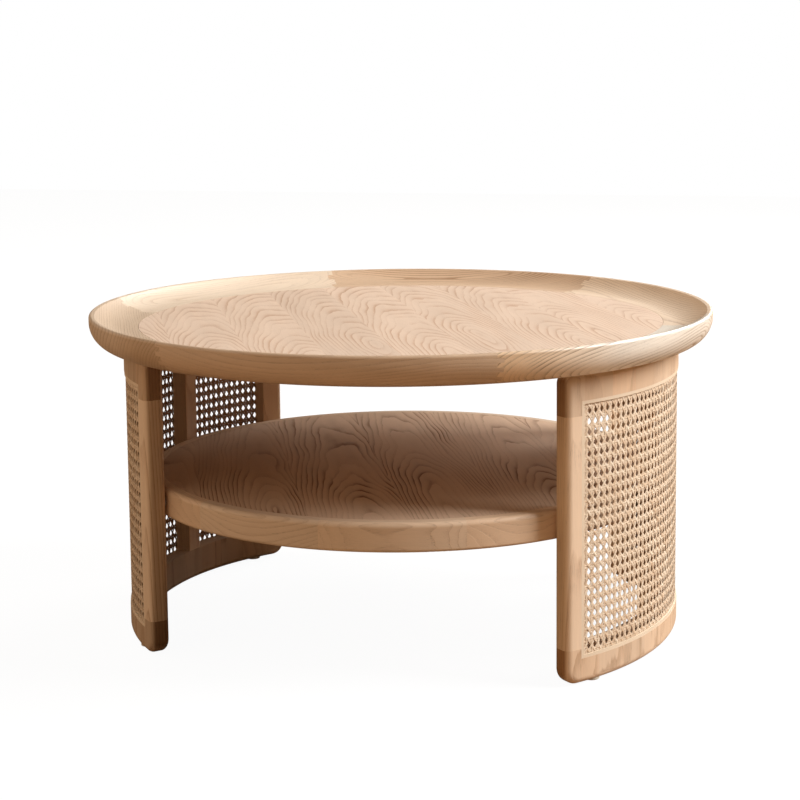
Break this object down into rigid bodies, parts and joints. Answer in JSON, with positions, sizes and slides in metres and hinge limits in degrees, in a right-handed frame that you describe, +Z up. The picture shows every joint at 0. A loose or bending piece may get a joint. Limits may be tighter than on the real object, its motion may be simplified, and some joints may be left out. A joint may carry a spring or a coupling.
{
  "type": "coffee table",
  "caption": "Round low table in pale ash with a raised-rim tray top, a round lower shelf and two curved frame legs panelled with woven cane.",
  "frame": {"origin": "on the floor, under the centre of the round top", "axes": "+Z up; +X and -X through the middles of the right and left legs; -Y is the open front"},
  "size_m": [0.8, 0.8, 0.41],
  "materials": {
    "ash": "clear satin lacquer on solid ash",
    "ash_veneer": "clear satin lacquer on crown-cut ash veneer",
    "beech": "bare fluted dowel rod",
    "cane": "natural woven cane webbing, unvarnished",
    "reed": "natural split reed",
    "steel": "bright zinc plate",
    "brass": "turned brass",
    "zinc": "die-cast zinc alloy",
    "nylon": "moulded nylon"
  },
  "bodies": {
    "root": {"floor_glides": "nylon", "left_back_mid_stile": "ash", "left_back_stile": "ash", "left_bottom_rail": "ash", "left_cane_beading": "reed", "left_cane_panel": "cane", "left_front_mid_stile": "ash", "left_front_stile": "ash", "left_leg_dowels": "beech", "left_top_rail": "ash", "leg_bolt_washers": "steel", "leg_bolts": "steel", "right_back_mid_stile": "ash", "right_back_stile": "ash", "right_bottom_rail": "ash", "right_cane_beading": "reed", "right_cane_panel": "cane", "right_front_mid_stile": "ash", "right_front_stile": "ash", "right_leg_dowels": "beech", "right_top_rail": "ash", "shelf_cams": "zinc", "shelf_connector_bolts": "steel", "shelf_edging_1": "ash", "shelf_edging_10": "ash", "shelf_edging_11": "ash", "shelf_edging_12": "ash", "shelf_edging_2": "ash", "shelf_edging_3": "ash", "shelf_edging_4": "ash", "shelf_edging_5": "ash", "shelf_edging_6": "ash", "shelf_edging_7": "ash", "shelf_edging_8": "ash", "shelf_edging_9": "ash", "shelf_panel": "ash_veneer", "stile_inserts": "brass", "top_dowels": "beech", "top_inserts": "brass", "top_panel": "ash_veneer", "top_ring_segment_1": "ash", "top_ring_segment_2": "ash", "top_ring_segment_3": "ash", "top_ring_segment_4": "ash", "top_ring_segment_5": "ash", "top_ring_segment_6": "ash"}
  },
  "joints": []
}
